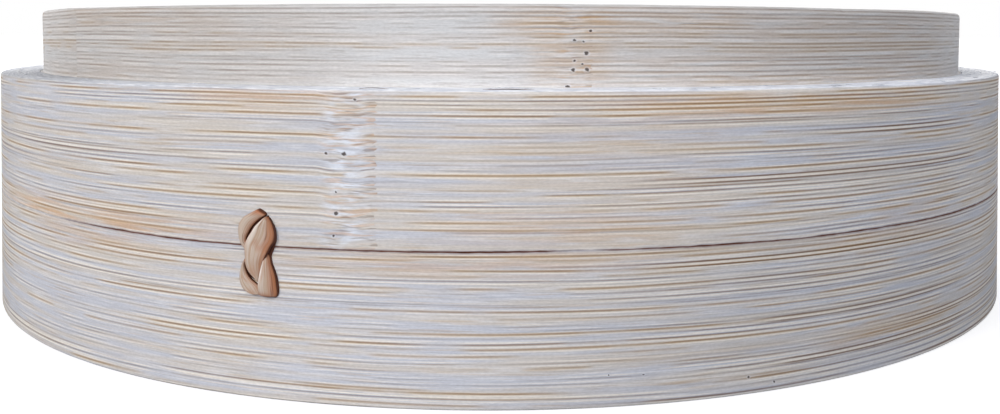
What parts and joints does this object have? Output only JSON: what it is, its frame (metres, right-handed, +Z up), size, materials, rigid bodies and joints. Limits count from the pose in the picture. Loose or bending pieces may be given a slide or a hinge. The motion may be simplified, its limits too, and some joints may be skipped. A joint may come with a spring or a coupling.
{
  "type": "bamboo steamer basket",
  "caption": "Round bamboo steamer basket: stacked laminated bands lashed with cane around an inner hoop whose top is a stacking lip, over a floor of woven slats.",
  "frame": {"origin": "centre of the bottom rim, on the basket's axis, at the resting plane", "axes": "+Z up along the basket's axis, -Y towards the viewer of the picture, +X to that viewer's right"},
  "size_m": [0.2547, 0.254, 0.066],
  "materials": {
    "bamboo_band": "planed bare bamboo, pale with brown grain lines",
    "bamboo_core": "sawn bare bamboo, paler and slightly fuzzy",
    "bamboo_hoop": "planed bare bamboo, a little darker",
    "bamboo_floor_bar": "split bare bamboo",
    "bamboo_floor_slat": "split bare bamboo",
    "cane": "split cane, satin"
  },
  "bodies": {
    "root": {"lower_band_face_ply": "bamboo_band", "lower_band_core_ply": "bamboo_core", "upper_band_face_ply": "bamboo_band", "upper_band_core_ply": "bamboo_core", "inner_hoop_face_ply": "bamboo_hoop", "inner_hoop_back_ply": "bamboo_hoop", "floor_bar_left": "bamboo_floor_bar", "floor_bar_mid_left": "bamboo_floor_bar", "floor_bar_mid_right": "bamboo_floor_bar", "floor_bar_right": "bamboo_floor_bar", "floor_slat_01": "bamboo_floor_slat", "floor_slat_02": "bamboo_floor_slat", "floor_slat_03": "bamboo_floor_slat", "floor_slat_04": "bamboo_floor_slat", "floor_slat_05": "bamboo_floor_slat", "floor_slat_06": "bamboo_floor_slat", "floor_slat_07": "bamboo_floor_slat", "floor_slat_08": "bamboo_floor_slat", "floor_slat_09": "bamboo_floor_slat", "floor_slat_10": "bamboo_floor_slat", "floor_slat_11": "bamboo_floor_slat", "floor_slat_12": "bamboo_floor_slat", "floor_slat_13": "bamboo_floor_slat", "lashing_front": "cane", "lashing_right": "cane", "lashing_back": "cane"}
  },
  "joints": []
}
